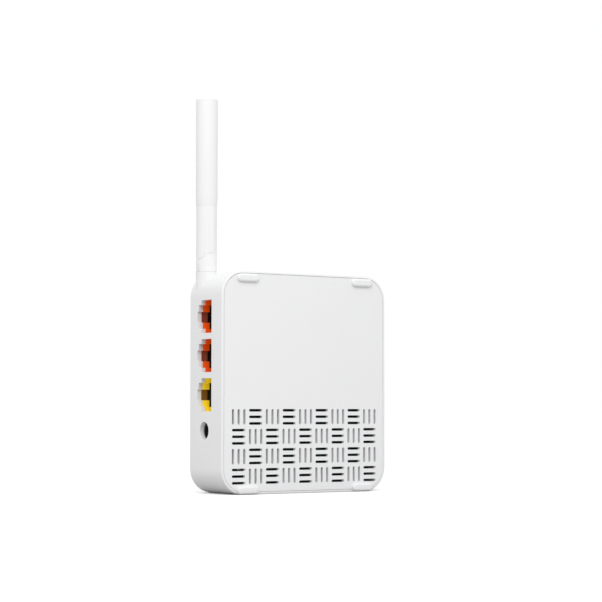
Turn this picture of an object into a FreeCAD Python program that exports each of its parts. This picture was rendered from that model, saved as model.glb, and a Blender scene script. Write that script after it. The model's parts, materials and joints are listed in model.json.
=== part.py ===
import FreeCAD, Part
import math
import os
import Sketcher

# Compact wireless network terminal that stands on its lower edge. Millimetres.
# +Z is up, the vented back cover faces -Y, the front face +Y and the sockets -X.
# The origin is the middle of the flat lower edge that it stands on.

SIZES = {
    # housing
    "body_width": 71.0,
    "front_face": 12.4,
    "back_face": 11.5,
    "body_height": 80.6,
    "corner_radius": 9.0,
    "front_edge_radius": 1.0,
    "rim_edge_radius": 0.5,
    "wall": 1.75,
    # back cover, let into the housing's rim
    "rim_wall": 0.9,
    "cover_gap": 0.12,
    "cover_thickness": 1.5,
    "vent_pitch": 7.1,
    "vent_slot_length": 5.6,
    "vent_slot_width": 0.95,
    "lowest_vent_row": 6.55,
    "foot_length": 9.0,
    "foot_width": 3.0,
    "foot_rise": 1.3,
    "foot_edge_radius": 0.9,
    "foot_spread": 24.8,
    "foot_inset": 1.65,
    "top_foot_inset": 2.65,
    "hook_width": 6.0,
    "hook_thickness": 1.2,
    "hook_reach": 4.8,
    "hook_nose": 0.8,
    "hook_gap": 0.3,
    "hook_spread": 14.0,
    # circuit board
    "board_face": -6.0,
    "board_thickness": 1.6,
    "board_left": -33.2,
    "board_right": 31.0,
    "board_bottom": 5.2,
    "board_top": 75.0,
    "board_corner": 5.0,
    "post_radius": 2.3,
    "screw_radius": 1.0,
    "screw_depth": 5.0,
    "screw_head_radius": 1.9,
    "screw_head_height": 1.2,
    "thread_play": 0.02,
    "board_hole_radius": 1.2,
    # network sockets
    "socket_face": -33.65,
    "socket_depth": 15.25,
    "socket_side": 13.9,
    "socket_top": 7.8,
    "socket_pitch": 14.2,
    "lowest_socket": 35.8,
    "socket_lip": 2.8,
    "socket_hollow": 13.0,
    "mouth_low": -4.0,
    "mouth_shoulder": 3.5,
    "mouth_step": 5.5,
    "mouth_high": 6.5,
    "latch_roof": 7.3,
    "mouth_width": 12.0,
    "shoulder_width": 8.7,
    "latch_width": 3.9,
    "contact_pitch": 1.02,
    "contact_width": 0.45,
    "contact_thickness": 0.35,
    "contact_shelf": 2.7,
    "contact_crest": 4.35,
    "contact_tip": 3.3,
    "contact_leg_gap": 0.1,
    "contact_slot_width": 8.2,
    # supply socket
    "supply_height": 22.8,
    "supply_axis": 1.16,
    "supply_hole_radius": 3.225,
    "supply_depth": 14.0,
    "supply_side": 9.0,
    "supply_top": 5.36,
    "supply_bore_radius": 2.9,
    "supply_bore_depth": 10.0,
    "supply_pin_radius": 1.05,
    "supply_pin_length": 9.2,
    "supply_leaf_thickness": 0.25,
    "supply_leaf_width": 2.0,
    # components on the board
    "transformer_left": -16.9,
    "transformer_length": 9.0,
    "transformer_side": 10.0,
    "transformer_rise": 4.5,
    "chip_side": 14.0,
    "chip_left": 0.0,
    "chip_bottom": 43.0,
    "chip_rise": 1.3,
    "pad_rise": 0.5,
    "sink_side": 16.0,
    "sink_base": 1.5,
    "sink_rise": 6.0,
    "sink_fins": 6.0,
    "sink_fin_width": 1.1,
    "shield_left": 6.0,
    "shield_bottom": 60.0,
    "shield_length": 16.0,
    "shield_side": 12.0,
    "shield_rise": 2.2,
    "shield_sheet": 0.25,
    "capacitor_radius": 3.15,
    "capacitor_rise": 7.7,
    "led_pitch": 6.0,
    "led_height": 14.0,
    "led_side": 1.6,
    "led_rise": 0.7,
    "window_radius": 1.0,
    "light_pipe_radius": 0.9,
    "light_gap": 0.4,
    "light_bar_back": 6.5,
    "light_bar_depth": 1.5,
    "light_bar_side": 2.0,
    # reset button
    "reset_height": 34.0,
    "reset_axis": -4.0,
    "reset_hole_radius": 2.1,
    "reset_cap_radius": 2.0,
    "reset_cap_rise": 0.5,
    "reset_flange_radius": 2.8,
    "reset_flange_rise": 1.0,
    "reset_flange_gap": 0.3,
    "reset_back": 32.1,
    "switch_left": 26.4,
    "switch_right": 30.6,
    "switch_side": 6.0,
    "switch_rise": 3.8,
    "plunger_side": 1.6,
    "plunger_play": 0.1,
    "plunger_left": 29.6,
    "plunger_room": 1.8,
    # antenna
    "antenna_across": -31.2,
    "antenna_axis": 7.5,
    "boss_radius": 3.85,
    "boss_bottom": 74.0,
    "boss_top": 81.0,
    "relief_radius": 2.9,
    "relief_depth": 2.1,
    "neck_radius": 1.9,
    "neck_play": 0.05,
    "neck_bottom": 72.9,
    "groove_radius": 1.4,
    "groove_bottom": 73.2,
    "groove_width": 0.65,
    "clip_radius": 2.6,
    "clip_thickness": 0.6,
    "clip_mouth": 2.4,
    "lead_radius": 0.55,
    "lead_bore_radius": 0.75,
    "base_bottom": 81.05,
    "base_top": 87.6,
    "base_radius": 3.8,
    "fold_height": 89.2,
    "knuckle_end_radius": 3.8,
    "fold_gap": 0.07,
    "tongue_thickness": 2.4,
    "tongue_radius": 2.3,
    "fork_gap": 3.2,
    "fork_room": 2.7,
    "pivot_radius": 1.0,
    "pivot_play": 0.05,
    "pivot_left": -2.9,
    "pivot_length": 6.1,
    "washer_radius": 2.2,
    "washer_thickness": 0.3,
    "washer_play": 0.05,
    "knuckle_top": 105.3,
    "spigot_radius": 3.25,
    "spigot_length": 5.0,
    "sleeve_radius": 4.0,
    "sleeve_bore_radius": 3.3,
    "sleeve_top": 145.1,
    "sleeve_roof": 1.0,
    "sleeve_edge_radius": 0.35,
    "radiator_bottom": 111.0,
    "radiator_length": 14.0,
    "radiator_radius": 2.3,
    "radiator_wall": 0.4,
    "whip_radius": 0.5,
    "whip_top": 143.0,
}

VENT_COLUMNS = 9
VENT_ROWS = 4
SLOTS_PER_BLOCK = 3
SOCKET_CONTACTS = 8
LEDS = 4
# Places of the screw posts and the capacitors: across and up, from the origin.
POST_PLACES = [(-4.0, 71.0), (26.5, 70.5), (-26.5, 10.5), (26.5, 10.5)]
CAPACITOR_PLACES = [(-14.0, 19.5), (-6.0, 22.5)]
# Small parts on the board: node, left, bottom, length, width and rise.
SMALL_PARTS = [
    ("memory_chip", [(17.5, 43.0, 9.0, 12.0, 1.1)]),
    ("flash_chip", [(17.0, 33.0, 5.2, 5.3, 1.8)]),
    ("crystal", [(-5.6, 48.5, 3.2, 2.5, 0.8)]),
    ("power_inductor", [(-0.5, 20.0, 6.0, 6.0, 3.0)]),
    ("regulators", [(9.0, 21.0, 3.0, 1.7, 1.1), (14.0, 21.0, 3.0, 1.7, 1.1)]),
]

doc = FreeCAD.newDocument("network_terminal")
nodes = []


def make_sheet():
    """Write the driving sizes in a spreadsheet, one aliased cell each."""
    sheet = doc.addObject("Spreadsheet::Sheet", "size")
    for row, (alias, value) in enumerate(SIZES.items(), 1):
        sheet.set("A%d" % row, alias)
        sheet.set("B%d" % row, str(value))
        sheet.setAlias("B%d" % row, alias)
    doc.recompute()


def bind(thing, **values):
    """Bind properties to expressions, and list the sheet's cells as size.NAME."""
    for name, expression in values.items():
        thing.setExpression(name.replace("__", "."), expression)


def node(thing, label):
    """Give a finished sub-part its label and list it for export."""
    thing.Label = label
    nodes.append(thing)
    return thing


def new_body(label):
    return node(doc.addObject("PartDesign::Body", label), label)


def new_sketch(body, name, role, across="0", up="0", out="0"):
    """Put a sketch on one of the body's origin planes, moved along its own axes."""
    sketch = body.newObject("Sketcher::SketchObject", name)
    planes = [plane for plane in body.Origin.OriginFeatures if plane.Role == role]
    sketch.AttachmentSupport = [(planes[0], "")]
    sketch.MapMode = "FlatFace"
    bind(sketch, AttachmentOffset__Base__x=across, AttachmentOffset__Base__y=up)
    bind(sketch, AttachmentOffset__Base__z=out)
    return sketch


def hold(sketch, constraint, expression):
    """Add a constraint and bind its value."""
    index = sketch.addConstraint(constraint)
    sketch.setExpression("Constraints[%d]" % index, expression)


def draw_circle(sketch, radius):
    centre = FreeCAD.Vector(0, 0, 0)
    edge = sketch.addGeometry(Part.Circle(centre, FreeCAD.Vector(0, 0, 1), 2.0), False)
    sketch.addConstraint(Sketcher.Constraint("Coincident", edge, 3, -1, 1))
    hold(sketch, Sketcher.Constraint("Radius", edge, 2.0), radius)


def draw_outline(sketch, corners):
    """Draw a closed polygon whose corners are pairs of expressions."""
    count = len(corners)
    turn = 2 * math.pi / count
    start = [FreeCAD.Vector(math.cos(turn * i), math.sin(turn * i), 0) for i in range(count)]
    first = sketch.GeometryCount
    for i in range(count):
        sketch.addGeometry(Part.LineSegment(start[i], start[(i + 1) % count]), False)
    for i, (across, up) in enumerate(corners):
        following = first + (i + 1) % count
        sketch.addConstraint(Sketcher.Constraint("Coincident", first + i, 2, following, 1))
        hold(sketch, Sketcher.Constraint("DistanceX", -1, 1, first + i, 1, 1.0), across)
        hold(sketch, Sketcher.Constraint("DistanceY", -1, 1, first + i, 1, 1.0), up)


def draw_box(sketch, left, right, low, high):
    draw_outline(sketch, [(left, low), (right, low), (right, high), (left, high)])


def draw_rounded_box(sketch, width, height, radius):
    """Draw a rectangle with rounded corners about the sketch's own origin."""
    half, bend = 30.0, 5.0
    inner = half - bend
    axis = FreeCAD.Vector(0, 0, 1)
    spots = [(inner, inner), (-inner, inner), (-inner, -inner), (inner, -inner)]
    for i, (x, y) in enumerate(spots):
        circle = Part.Circle(FreeCAD.Vector(x, y, 0), axis, bend)
        arc = Part.ArcOfCircle(circle, i * math.pi / 2, (i + 1) * math.pi / 2)
        sketch.addGeometry(arc, False)
    ends = [((inner, half), (-inner, half)), ((-half, inner), (-half, -inner)),
            ((-inner, -half), (inner, -half)), ((half, -inner), (half, inner))]
    for begin, end in ends:
        line = Part.LineSegment(FreeCAD.Vector(*begin, 0), FreeCAD.Vector(*end, 0))
        sketch.addGeometry(line, False)
    for i in range(4):
        sketch.addConstraint(Sketcher.Constraint("Tangent", i, 2, 4 + i, 1))
        sketch.addConstraint(Sketcher.Constraint("Tangent", 4 + i, 2, (i + 1) % 4, 1))
        direction = "Horizontal" if i % 2 == 0 else "Vertical"
        sketch.addConstraint(Sketcher.Constraint(direction, 4 + i))
    for i in range(3):
        sketch.addConstraint(Sketcher.Constraint("Equal", i, i + 1))
    sketch.addConstraint(Sketcher.Constraint("Symmetric", 0, 3, 2, 3, -1, 1))
    hold(sketch, Sketcher.Constraint("Radius", 0, bend), radius)
    hold(sketch, Sketcher.Constraint("DistanceX", 5, 1, 7, 2, 2 * half), width)
    hold(sketch, Sketcher.Constraint("DistanceY", 6, 2, 4, 1, 2 * half), height)


def draw_slot(sketch, across, up, length, width, upright=False):
    """Draw a round-ended slot; across and up are expressions from the sketch's origin."""
    first = sketch.GeometryCount
    axis = FreeCAD.Vector(0, 0, 1)
    turn = math.pi / 2 if upright else 0.0
    reach, bend = 2.5, 0.5
    along = FreeCAD.Vector(math.cos(turn), math.sin(turn), 0)
    aside = FreeCAD.Vector(-math.sin(turn), math.cos(turn), 0)
    for side in (1, -1):
        centre = along * (reach * side)
        begin = turn - math.pi / 2 if side == 1 else turn + math.pi / 2
        arc = Part.ArcOfCircle(Part.Circle(centre, axis, bend), begin, begin + math.pi)
        sketch.addGeometry(arc, False)
    far, near = along * reach, along * -reach
    side = aside * bend
    sketch.addGeometry(Part.LineSegment(far + side, near + side), False)
    sketch.addGeometry(Part.LineSegment(near - side, far - side), False)
    right_end, left_end, top, bottom = first, first + 1, first + 2, first + 3
    sketch.addConstraint(Sketcher.Constraint("Tangent", right_end, 2, top, 1))
    sketch.addConstraint(Sketcher.Constraint("Tangent", top, 2, left_end, 1))
    sketch.addConstraint(Sketcher.Constraint("Tangent", left_end, 2, bottom, 1))
    sketch.addConstraint(Sketcher.Constraint("Tangent", bottom, 2, right_end, 1))
    sketch.addConstraint(Sketcher.Constraint("Vertical" if upright else "Horizontal", top))
    sketch.addConstraint(Sketcher.Constraint("Equal", right_end, left_end))
    hold(sketch, Sketcher.Constraint("Radius", right_end, bend), "%s / 2" % width)
    spread = "(%s - %s) / 2" % (length, width)
    shift = [across, up]
    shift[1 if upright else 0] += " + " + spread
    hold(sketch, Sketcher.Constraint("DistanceX", -1, 1, right_end, 3, 1.0), shift[0])
    hold(sketch, Sketcher.Constraint("DistanceY", -1, 1, right_end, 3, 1.0), shift[1])
    kind = "DistanceY" if upright else "DistanceX"
    hold(sketch, Sketcher.Constraint(kind, left_end, 3, right_end, 3, 5.0), "2 * " + spread)


def feature(body, kind, name, sketch, length=None, flip=False, both_ways=False):
    """Add a pad or a pocket made from a sketch; no length means right through."""
    shape = body.newObject("PartDesign::" + kind, name)
    shape.Profile = sketch
    shape.Reversed = flip
    if both_ways:
        shape.SideType = "Symmetric"
    if length is None:
        shape.Type = "ThroughAll"
    else:
        bind(shape, Length=length)
    sketch.Visibility = False
    body.Tip = shape
    return shape


def pad(body, name, sketch, length, **options):
    return feature(body, "Pad", name, sketch, length, **options)


def pocket(body, name, sketch, length=None, **options):
    return feature(body, "Pocket", name, sketch, length, **options)


def round_edges(body, name, radius, wanted):
    """Fillet the edges of the body's tip whose two ends and middle pass a test."""
    doc.recompute()
    base = body.Tip
    names = []
    for i, edge in enumerate(base.Shape.Edges, 1):
        spots = [edge.valueAt(edge.FirstParameter), edge.valueAt(edge.LastParameter)]
        middle = (edge.FirstParameter + edge.LastParameter) / 2
        if all(wanted(spot) for spot in spots + [edge.valueAt(middle)]):
            names.append("Edge%d" % i)
    fillet = body.newObject("PartDesign::Fillet", name)
    fillet.Base = (base, names)
    bind(fillet, Radius=radius)
    body.Tip = fillet
    return fillet


def repeat(body, name, original, sketch, axis, step, count):
    """Repeat a feature in a line."""
    pattern = body.newObject("PartDesign::LinearPattern", name)
    pattern.Originals = [original]
    pattern.Direction = (sketch, [axis])
    pattern.Mode = "Spacing"
    bind(pattern, Offset=step)
    pattern.Occurrences = count
    body.Tip = pattern
    return pattern


def block(name, left, back, low, length, depth, height):
    """Make a box from its lowest corner and its sizes, all as expressions."""
    box = doc.addObject("Part::Box", name)
    bind(box, Length=length, Width=depth, Height=height)
    bind(box, Placement__Base__x=left, Placement__Base__y=back, Placement__Base__z=low)
    return box


def rod(name, radius, height, across, back, low, axis="Z"):
    """Make a cylinder that starts at a point and runs along +X, +Y or +Z."""
    turns = {"X": ((0, 1, 0), 90), "Y": ((1, 0, 0), -90), "Z": ((0, 0, 1), 0)}
    direction, angle = turns[axis]
    cylinder = doc.addObject("Part::Cylinder", name)
    cylinder.Placement.Rotation = FreeCAD.Rotation(FreeCAD.Vector(*direction), angle)
    bind(cylinder, Radius=radius, Height=height)
    bind(cylinder, Placement__Base__x=across, Placement__Base__y=back)
    bind(cylinder, Placement__Base__z=low)
    return cylinder


def group(label, pieces):
    """Join separate solids in one node."""
    compound = doc.addObject("Part::Compound", label)
    compound.Links = pieces
    return node(compound, label)


def cut(label, base, tool):
    result = doc.addObject("Part::Cut", label)
    result.Base = base
    result.Tool = tool
    return result


def row_of(count, step):
    """Expressions for the middles of a centred row."""
    return ["%.1f * %s" % (i - (count - 1) / 2, step) for i in range(count)]


def draw_mouth(sketch, top="size.mouth_high"):
    """Draw the stepped opening of a network socket, its latch side towards the front."""
    widths = ["size.mouth_width / 2", "size.shoulder_width / 2", "size.latch_width / 2"]
    steps = ["size.mouth_low", "size.mouth_shoulder", "size.mouth_step", top]
    upper = []
    for i, half in enumerate(widths):
        upper += [(steps[i], half), (steps[i + 1], half)]
    lower = [(back, "-(%s)" % half) for back, half in reversed(upper)]
    draw_outline(sketch, upper + lower)


def make_front_housing():
    body = new_body("front_housing")
    middle = "size.body_height / 2"
    outline = new_sketch(body, "housing_outline", "XZ_Plane", "0", middle, "-size.front_face")
    draw_rounded_box(outline, "size.body_width", "size.body_height", "size.corner_radius")
    pad(body, "housing_block", outline, "size.front_face + size.back_face")
    front, back = SIZES["front_face"], -SIZES["back_face"]
    round_edges(body, "front_rounding", "size.front_edge_radius", lambda p: p.y > front - 0.01)
    round_edges(body, "rim_rounding", "size.rim_edge_radius", lambda p: p.y < back + 0.01)

    for name, inset, depth in (
        ("cover_seat", "size.rim_wall", "size.cover_thickness"),
        ("housing_hollow", "size.wall", "size.front_face + size.back_face - size.wall"),
    ):
        edge = new_sketch(body, name + "_outline", "XZ_Plane", "0", middle, "size.back_face")
        width = "size.body_width - 2 * %s" % inset
        height = "size.body_height - 2 * %s" % inset
        draw_rounded_box(edge, width, height, "size.corner_radius - %s" % inset)
        pocket(body, name, edge, depth)

    boss = new_sketch(body, "boss_outline", "XY_Plane", "size.antenna_across",
                      "size.antenna_axis", "size.boss_bottom")
    draw_circle(boss, "size.boss_radius")
    pad(body, "antenna_boss", boss, "size.boss_top - size.boss_bottom")
    bore = new_sketch(body, "neck_hole_outline", "XY_Plane", "size.antenna_across",
                      "size.antenna_axis", "size.boss_top")
    draw_circle(bore, "size.neck_radius + size.neck_play")
    pocket(body, "neck_hole", bore, "size.boss_top - size.boss_bottom")
    relief = new_sketch(body, "clip_relief_outline", "XY_Plane", "size.antenna_across",
                        "size.antenna_axis", "size.boss_bottom")
    draw_circle(relief, "size.relief_radius")
    pocket(body, "clip_relief", relief, "size.relief_depth")

    left = "-size.body_width / 2"
    mouth = new_sketch(body, "socket_opening_outline", "YZ_Plane", "0", "size.lowest_socket", left)
    draw_mouth(mouth)
    opening = pocket(body, "socket_opening", mouth, "size.wall", flip=True)
    repeat(body, "socket_openings", opening, mouth, "V_Axis", "size.socket_pitch", 3)
    supply = new_sketch(body, "supply_hole_outline", "YZ_Plane", "size.supply_axis",
                        "size.supply_height", left)
    draw_circle(supply, "size.supply_hole_radius")
    pocket(body, "supply_hole", supply, "size.wall", flip=True)
    reset = new_sketch(body, "reset_hole_outline", "YZ_Plane", "size.reset_axis",
                       "size.reset_height", "size.body_width / 2")
    draw_circle(reset, "size.reset_hole_radius")
    pocket(body, "reset_hole", reset, "size.wall")

    window = new_sketch(body, "window_outline", "XZ_Plane", row_of(LEDS, "size.led_pitch")[0],
                        "size.led_height", "-size.front_face")
    draw_circle(window, "size.window_radius")
    first_window = pocket(body, "first_window", window, "size.wall", flip=True)
    repeat(body, "windows", first_window, window, "H_Axis", "size.led_pitch", LEDS)

    inside = "-(size.front_face - size.wall)"
    for i, (across, up) in enumerate(POST_PLACES, 1):
        spot = (str(across), str(up))
        post = new_sketch(body, "post_outline_%d" % i, "XZ_Plane", *spot, inside)
        draw_circle(post, "size.post_radius")
        pad(body, "post_%d" % i, post, "size.front_face - size.wall - size.board_face")
        hole = new_sketch(body, "screw_hole_outline_%d" % i, "XZ_Plane", *spot, "-size.board_face")
        draw_circle(hole, "size.screw_radius + size.thread_play")
        pocket(body, "screw_hole_%d" % i, hole, "size.screw_depth + 0.5")

    make_hook_seats(body)


def hook_nose_span():
    """Where a hook's nose starts and ends, along Y."""
    tip = "-size.back_face + size.cover_thickness + size.hook_reach"
    return tip + " - 1.6", tip


def make_hook_seats(body):
    """Cut the hollows that the cover's hooks snap into, top and bottom."""
    low, high = hook_nose_span()
    for i, across in enumerate(("-size.hook_spread", "size.hook_spread"), 1):
        seat = new_sketch(body, "hook_seat_outline_%d" % i, "YZ_Plane", out=across)
        roof = "size.body_height - size.wall"
        depth = "size.hook_nose"
        draw_box(seat, low + " - 0.3", high, "size.wall - " + depth, "size.wall + 0.5")
        draw_box(seat, low + " - 0.3", high, roof + " - 0.5", roof + " + " + depth)
        pocket(body, "hook_seats_%d" % i, seat, "size.hook_width + 0.4", both_ways=True)


def make_back_cover():
    body = new_body("back_cover")
    inset = "(size.rim_wall + size.cover_gap)"
    seat = "size.back_face - size.cover_thickness"
    plate = new_sketch(body, "cover_outline", "XZ_Plane", "0", "size.body_height / 2", seat)
    width = "size.body_width - 2 * " + inset
    height = "size.body_height - 2 * " + inset
    draw_rounded_box(plate, width, height, "size.corner_radius - " + inset)
    pad(body, "cover_plate", plate, "size.cover_thickness")
    make_feet(body)
    make_vents(body)
    make_hooks(body)


def make_feet(body):
    """Raise four rounded feet from the plate, two at each end."""
    for i, up in enumerate(("size.foot_inset", "size.body_height - size.top_foot_inset"), 1):
        for j, across in enumerate(("-size.foot_spread", "size.foot_spread"), 1):
            name = "foot_%d_%d" % (i, j)
            outline = new_sketch(body, name + "_outline", "XZ_Plane", across, up,
                                 "size.back_face")
            draw_slot(outline, "0", "0", "size.foot_length", "size.foot_width")
            pad(body, name, outline, "size.foot_rise")
    face = -SIZES["back_face"] - SIZES["foot_rise"]
    round_edges(body, "feet_rounding", "size.foot_edge_radius", lambda p: p.y < face + 0.01)


def make_vents(body):
    """Cut the basket-weave vents: blocks of slots that lie and stand by turns."""
    for row in range(VENT_ROWS):
        for upright in (False, True):
            odd_first = row % 2 == 0
            start = 0 if odd_first != upright else 1
            count = len(range(start, VENT_COLUMNS, 2))
            across = "%d * size.vent_pitch" % (start - VENT_COLUMNS // 2)
            up = "size.lowest_vent_row + %d * size.vent_pitch" % row
            name = "vents_%d_%s" % (row + 1, "upright" if upright else "level")
            sketch = new_sketch(body, name + "_outline", "XZ_Plane", across, up,
                                "size.back_face")
            for shift in row_of(SLOTS_PER_BLOCK, "size.vent_pitch / %d" % SLOTS_PER_BLOCK):
                spot = (shift, "0") if upright else ("0", shift)
                draw_slot(sketch, *spot, "size.vent_slot_length", "size.vent_slot_width", upright)
            block_of_slots = pocket(body, name, sketch, "size.cover_thickness")
            step = "2 * size.vent_pitch"
            repeat(body, name + "_row", block_of_slots, sketch, "H_Axis", step, count)


def make_hooks(body):
    """Stand four snap hooks on the plate's inner face, two at the top and two below."""
    seat = "-size.back_face + size.cover_thickness"
    low, high = hook_nose_span()
    for i, across in enumerate(("-size.hook_spread", "size.hook_spread"), 1):
        for side, wall, sign in (
            ("low", "size.wall", "+"),
            ("high", "size.body_height - size.wall", "-"),
        ):
            inward = "%s %s " % (wall, sign)
            outward = "%s %s " % (wall, "-" if sign == "+" else "+")
            outer = inward + "size.hook_gap"
            inner = inward + "(size.hook_gap + size.hook_thickness)"
            nose = outward + "(size.hook_nose - 0.25)"
            name = "hook_%s_%d" % (side, i)
            profile = new_sketch(body, name + "_outline", "YZ_Plane", out=across)
            draw_outline(profile, [(seat, inner), (high, inner), (high, outer),
                                   (low + " + 0.6", nose), (low, nose), (low, outer),
                                   (seat, outer)])
            pad(body, name, profile, "size.hook_width", both_ways=True)


def make_light_guide():
    """Clear bar with a light pipe for each indicator."""
    body = new_body("light_guide")
    bar = new_sketch(body, "bar_outline", "XZ_Plane", "0", "size.led_height",
                     "-size.light_bar_back - size.light_bar_depth")
    half = "(%d * size.led_pitch + size.light_bar_side) / 2" % (LEDS - 1)
    draw_box(bar, "-" + half, half, "-size.light_bar_side / 2", "size.light_bar_side / 2")
    pad(body, "bar", bar, "size.light_bar_depth")
    pipe = new_sketch(body, "pipe_outline", "XZ_Plane", row_of(LEDS, "size.led_pitch")[0],
                      "size.led_height", "-size.front_face")
    draw_circle(pipe, "size.light_pipe_radius")
    reach = "size.front_face - size.board_face - size.led_rise - size.light_gap"
    first_pipe = pad(body, "first_pipe", pipe, reach)
    repeat(body, "pipes", first_pipe, pipe, "H_Axis", "size.led_pitch", LEDS)


def make_board():
    body = new_body("main_board")
    middle_across = "(size.board_left + size.board_right) / 2"
    middle_up = "(size.board_bottom + size.board_top) / 2"
    outline = new_sketch(body, "board_outline", "XZ_Plane", middle_across, middle_up,
                         "-size.board_face")
    draw_rounded_box(outline, "size.board_right - size.board_left",
                     "size.board_top - size.board_bottom", "size.board_corner")
    pad(body, "board_sheet", outline, "size.board_thickness")
    for i, (across, up) in enumerate(POST_PLACES, 1):
        hole = new_sketch(body, "board_hole_outline_%d" % i, "XZ_Plane", str(across), str(up),
                          "-size.board_face + size.board_thickness")
        draw_circle(hole, "size.board_hole_radius")
        pocket(body, "board_hole_%d" % i, hole, "size.board_thickness")


def make_board_screws():
    """Four pan-head screws that clamp the board to the posts."""
    screws = []
    under_head = "size.board_face - size.board_thickness"
    for i, (across, up) in enumerate(POST_PLACES, 1):
        head = rod("screw_head_%d" % i, "size.screw_head_radius", "size.screw_head_height",
                   str(across), under_head + " - size.screw_head_height", str(up), "Y")
        shank = rod("screw_shank_%d" % i, "size.screw_radius",
                    "size.board_thickness + size.screw_depth", str(across), under_head,
                    str(up), "Y")
        joined = doc.addObject("Part::Fuse", "screw_%d" % i)
        joined.Base = head
        joined.Tool = shank
        screws.append(joined)
    group("board_screws", screws)


def make_socket(label, height):
    """Moulded network socket with a stepped mouth, a latch slot and a wider hollow behind."""
    body = new_body(label)
    side = "size.socket_side / 2"
    block_end = new_sketch(body, label + "_outline", "YZ_Plane", "0", height, "size.socket_face")
    draw_box(block_end, "size.board_face", "size.socket_top", "-" + side, side)
    pad(body, label + "_block", block_end, "size.socket_depth")
    mouth = new_sketch(body, label + "_mouth_outline", "YZ_Plane", "0", height, "size.socket_face")
    draw_mouth(mouth, "size.latch_roof")
    pocket(body, label + "_mouth", mouth, "size.socket_lip", flip=True)
    hollow = new_sketch(body, label + "_hollow_outline", "YZ_Plane", "0", height,
                        "size.socket_face + size.socket_lip")
    half = "size.mouth_width / 2"
    draw_box(hollow, "size.mouth_low", "size.latch_roof", "-" + half, half)
    pocket(body, label + "_hollow", hollow, "size.socket_hollow - size.socket_lip", flip=True)
    slot = new_sketch(body, label + "_slot_outline", "YZ_Plane", "0", height,
                      "size.socket_face + size.socket_hollow")
    half = "size.contact_slot_width / 2"
    shelf = "size.board_face + size.contact_shelf"
    draw_box(slot, shelf + " - size.contact_thickness - 0.1", shelf + " + 0.1", "-" + half, half)
    pocket(body, label + "_slot", slot, "size.socket_depth - size.socket_hollow", flip=True)


def make_contacts(label, height):
    """Eight bent spring wires, from the board up and over into the socket's hollow."""
    body = new_body(label)
    body.AllowCompound = True
    first = "%s + %s" % (height, row_of(SOCKET_CONTACTS, "size.contact_pitch")[0])
    wire = new_sketch(body, label + "_outline", "XY_Plane", "size.socket_face",
                      "size.board_face", first)
    leg = "size.socket_depth + size.contact_leg_gap"
    outer_leg = leg + " + size.contact_thickness"
    thick = "size.contact_thickness"
    shelf, crest, tip = "size.contact_shelf", "size.contact_crest", "size.contact_tip"
    bend = "size.socket_hollow - 0.3"
    draw_outline(wire, [
        (leg, "0"), (outer_leg, "0"), (outer_leg, shelf), (bend, shelf),
        ("4.2", crest), ("2.9", tip), ("3.1", "%s - %s" % (tip, thick)),
        ("4.2", "%s - %s" % (crest, thick)), (bend, "%s - %s" % (shelf, thick)),
        (leg, "%s - %s" % (shelf, thick)),
    ])
    one = pad(body, label + "_wire", wire, "size.contact_width", both_ways=True)
    repeat(body, label + "_wires", one, wire, "N_Axis", "size.contact_pitch", SOCKET_CONTACTS)


def make_supply_socket():
    body = new_body("supply_socket")
    half = "size.supply_side / 2"
    end = new_sketch(body, "supply_outline", "YZ_Plane", "0", "size.supply_height",
                     "size.socket_face")
    draw_box(end, "size.board_face", "size.supply_top", "-" + half, half)
    pad(body, "supply_block", end, "size.supply_depth")
    bore = new_sketch(body, "supply_bore_outline", "YZ_Plane", "size.supply_axis",
                      "size.supply_height", "size.socket_face")
    draw_circle(bore, "size.supply_bore_radius")
    pocket(body, "supply_bore", bore, "size.supply_bore_depth", flip=True)

    floor = "size.socket_face + size.supply_bore_depth"
    pin = rod("supply_pin", "size.supply_pin_radius", "size.supply_pin_length",
              floor + " - size.supply_pin_length", "size.supply_axis", "size.supply_height", "X")
    node(pin, "supply_pin")

    leaf = new_body("supply_leaf_spring")
    profile = new_sketch(leaf, "leaf_outline", "XY_Plane", floor,
                         "size.supply_axis - size.supply_bore_radius", "size.supply_height")
    thick = "size.supply_leaf_thickness"
    under = [("0", "0.3"), ("-4.5", "0.3"), ("-6.5", "0.7"), ("-8.0", "0.3")]
    over = [(across, "%s + %s" % (up, thick)) for across, up in reversed(under)]
    draw_outline(profile, under + over)
    pad(leaf, "leaf", profile, "size.supply_leaf_width", both_ways=True)


def make_line_transformers():
    """A block of line transformers behind each network socket."""
    blocks = []
    for i in range(3):
        middle = "size.lowest_socket + %d * size.socket_pitch" % i
        blocks.append(block("transformer_%d" % (i + 1), "size.transformer_left",
                            "size.board_face", middle + " - size.transformer_side / 2",
                            "size.transformer_length", "size.transformer_rise",
                            "size.transformer_side"))
    group("line_transformers", blocks)


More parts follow.
